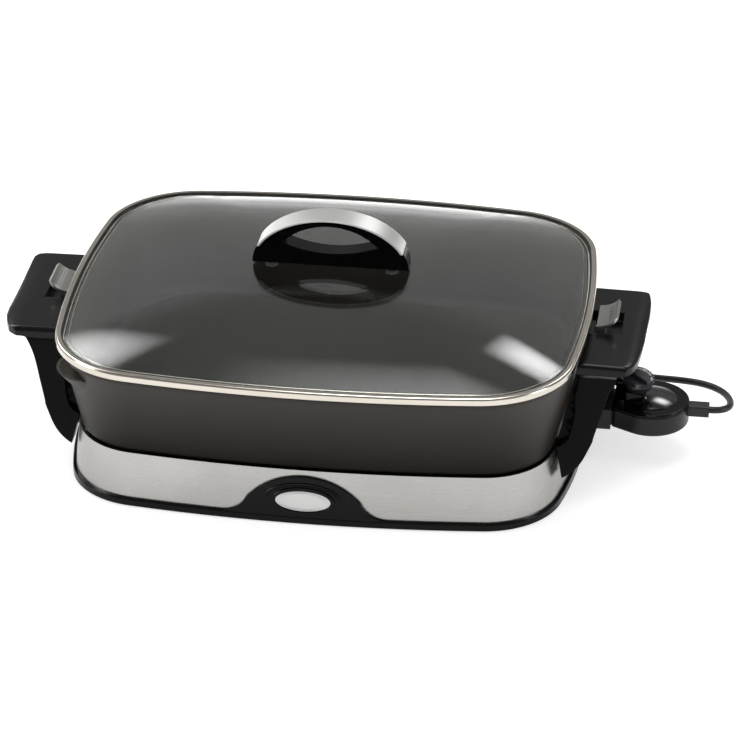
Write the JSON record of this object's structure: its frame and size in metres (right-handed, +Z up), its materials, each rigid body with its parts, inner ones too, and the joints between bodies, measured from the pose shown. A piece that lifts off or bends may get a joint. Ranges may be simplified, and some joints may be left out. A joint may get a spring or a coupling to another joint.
{
  "type": "electric skillet",
  "caption": "Electric skillet: bowed rectangular cast pan in a steel-skirted base, lift-off glass lid, latched end handles and a plug-in heat control.",
  "frame": {"origin": "middle of the base's outline, on the counter under its feet", "axes": "+X along the long side towards the heat control, -Y towards the cook and the badge, +Z up"},
  "size_m": [0.5724, 0.4045, 0.1885],
  "materials": {
    "black_trim": "gloss black moulding",
    "badge_plate": "satin metal, bare",
    "rubber": "matte black",
    "zinc": "zinc plated",
    "control_plastic": "satin black moulding",
    "panel_plastic": "polished black lens",
    "cord": "black jacket, satin",
    "dial_plastic": "black with pale figures",
    "shield_steel": "plain sheet",
    "element_sheath": "oxidised sheath",
    "lamp_lens": "dark red lens",
    "handle_plastic": "satin black moulding",
    "latch_metal": "satin silver",
    "lid_glass": "clear tempered glass",
    "lid_plastic": "gloss black moulding",
    "strap_steel": "brushed strip",
    "rim_steel": "satin rolled rim",
    "pan_coating": "cast aluminium with a dark non-stick coat",
    "brass": "plain",
    "probe_steel": "bright",
    "skirt_steel": "brushed stainless",
    "guard_plastic": "black phenolic"
  },
  "bodies": {
    "skillet": {"badge_bezel": "black_trim", "badge_plate": "badge_plate", "base_feet": "rubber", "base_screws": "zinc", "base_trim": "black_trim", "heat_shield": "shield_steel", "heating_element": "element_sheath", "hinge_ears": "zinc", "hinge_pins": "zinc", "left_handle": "handle_plastic", "left_latch_pin": "zinc", "pan": "pan_coating", "right_handle": "handle_plastic", "right_latch_pin": "zinc", "steel_skirt": "skirt_steel", "terminal_guard": "guard_plastic", "terminal_pins": "probe_steel"},
    "control": {"control_base": "control_plastic", "control_cover": "control_plastic", "control_nose": "control_plastic", "control_panel": "panel_plastic", "control_screws": "zinc", "cord_coil": "cord", "cord_lead": "cord", "indicator_lens": "lamp_lens", "plug_blades": "brass", "plug_body": "cord", "probe": "probe_steel", "socket_sleeves": "brass", "strain_relief": "cord", "thermostat": "guard_plastic"},
    "dial": {"dial": "dial_plastic", "dial_shaft": "zinc"},
    "left_latch": {"left_latch_lever": "latch_metal"},
    "right_latch": {"right_latch_lever": "latch_metal"},
    "lid": {"lid_gaskets": "rubber", "lid_glass": "lid_glass", "lid_handle": "lid_plastic", "lid_handle_strap": "strap_steel", "lid_rim": "rim_steel", "lid_screws": "zinc"}
  },
  "joints": [
    {"name": "lid_lift", "type": "slide", "parent": "skillet", "child": "lid", "axis": [0, 0, 1], "range_m": [0, 0.12]},
    {"name": "control_unplug", "type": "slide", "parent": "skillet", "child": "control", "axis": [1, 0, 0], "range_m": [0, 0.1]},
    {"name": "dial_turn", "type": "hinge", "parent": "control", "child": "dial", "pos_m": [0.2406, -0.005, 0.0671], "axis": [0.1392, -0.2756, 0.9511], "range_deg": [0, 300]},
    {"name": "left_latch_flip", "type": "hinge", "parent": "skillet", "child": "left_latch", "pos_m": [-0.2105, 0.008, 0.1032], "axis": [0, 1, 0], "range_deg": [0, 35]},
    {"name": "right_latch_flip", "type": "hinge", "parent": "skillet", "child": "right_latch", "pos_m": [0.2105, 0.008, 0.1032], "axis": [0, -1, 0], "range_deg": [0, 35]}
  ]
}
